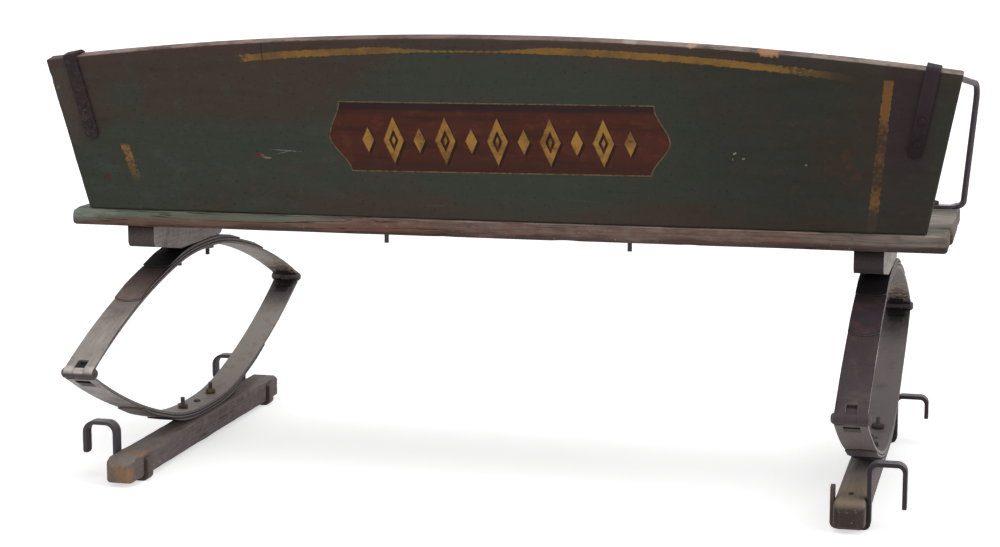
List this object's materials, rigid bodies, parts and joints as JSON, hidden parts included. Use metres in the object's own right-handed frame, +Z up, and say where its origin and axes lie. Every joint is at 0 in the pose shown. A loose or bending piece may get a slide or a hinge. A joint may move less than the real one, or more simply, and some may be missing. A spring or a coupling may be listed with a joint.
{
  "type": "wagon seat bench",
  "caption": "Plank wagon seat with a flared, arched painted back, iron arm rails, full elliptic leaf springs and hooked bars that hang on a wagon box.",
  "frame": {"origin": "on the ground under the middle of the bench, midway between the springs and between their eyes", "axes": "+X along the bench to the sitter's left, +Y the way the sitter faces, away from the painted outer face of the back, +Z up"},
  "size_m": [1.1634, 0.777, 0.573],
  "materials": {
    "painted_board": "worn dark green paint over wood, ochre border stripes",
    "seat_board": "weathered plank with the remains of green-grey paint",
    "cleat_wood": "weathered hardwood, dark with age",
    "bar_wood": "weathered brown hardwood, rust-stained end grain",
    "spring_steel": "dull oxidised spring steel, worn grey-brown",
    "forged_iron": "forged wrought iron, dark scale, worn edges",
    "fastener_iron": "rusty iron"
  },
  "bodies": {
    "base": {"left_bar": "bar_wood", "right_bar": "bar_wood", "left_rear_hook": "forged_iron", "left_front_hook": "forged_iron", "right_rear_hook": "forged_iron", "right_front_hook": "forged_iron", "hook_screws": "fastener_iron", "left_lower_main_leaf": "spring_steel", "left_lower_second_leaf": "spring_steel", "left_lower_third_leaf": "spring_steel", "right_lower_main_leaf": "spring_steel", "right_lower_second_leaf": "spring_steel", "right_lower_third_leaf": "spring_steel", "lower_clamp_bolts": "fastener_iron", "lower_clamp_nuts": "fastener_iron", "lower_pack_rivets": "fastener_iron"},
    "spring_eyes": {"left_rear_eye_pin": "fastener_iron", "left_front_eye_pin": "fastener_iron", "right_rear_eye_pin": "fastener_iron", "right_front_eye_pin": "fastener_iron"},
    "seat": {"seat_rear_board": "seat_board", "seat_front_board": "seat_board", "seat_screws": "fastener_iron", "backboard": "painted_board", "left_cleat": "cleat_wood", "right_cleat": "cleat_wood", "left_upper_main_leaf": "spring_steel", "left_upper_second_leaf": "spring_steel", "left_upper_third_leaf": "spring_steel", "right_upper_main_leaf": "spring_steel", "right_upper_second_leaf": "spring_steel", "right_upper_third_leaf": "spring_steel", "upper_clamp_bolts": "fastener_iron", "upper_clamp_nuts": "fastener_iron", "upper_pack_rivets": "fastener_iron", "left_arm_iron": "forged_iron", "right_arm_iron": "forged_iron", "strap_rivets": "fastener_iron", "arm_foot_bolts": "fastener_iron", "arm_foot_nuts": "fastener_iron", "left_back_knee": "forged_iron", "right_back_knee": "forged_iron", "knee_bolts": "fastener_iron", "knee_nuts": "fastener_iron", "knee_screws": "fastener_iron"}
  },
  "joints": [
    {"name": "lower_leaves_flatten", "type": "slide", "parent": "base", "child": "spring_eyes", "axis": [0, 0, -1], "range_m": [0, 0.025], "stiffness_N_per_m": 62800, "springref_m": -0.003, "deforming": ["left_lower_main_leaf", "left_lower_second_leaf", "left_lower_third_leaf", "right_lower_main_leaf", "right_lower_second_leaf", "right_lower_third_leaf"]},
    {"name": "upper_leaves_flatten", "type": "slide", "parent": "spring_eyes", "child": "seat", "axis": [0, 0, -1], "range_m": [0, 0.025], "stiffness_N_per_m": 62800, "springref_m": -0.003, "deforming": ["left_upper_main_leaf", "left_upper_second_leaf", "left_upper_third_leaf", "right_upper_main_leaf", "right_upper_second_leaf", "right_upper_third_leaf"]}
  ],
  "couplings": [
    {"joint": "upper_leaves_flatten", "follows": "lower_leaves_flatten", "ratio": 1}
  ]
}
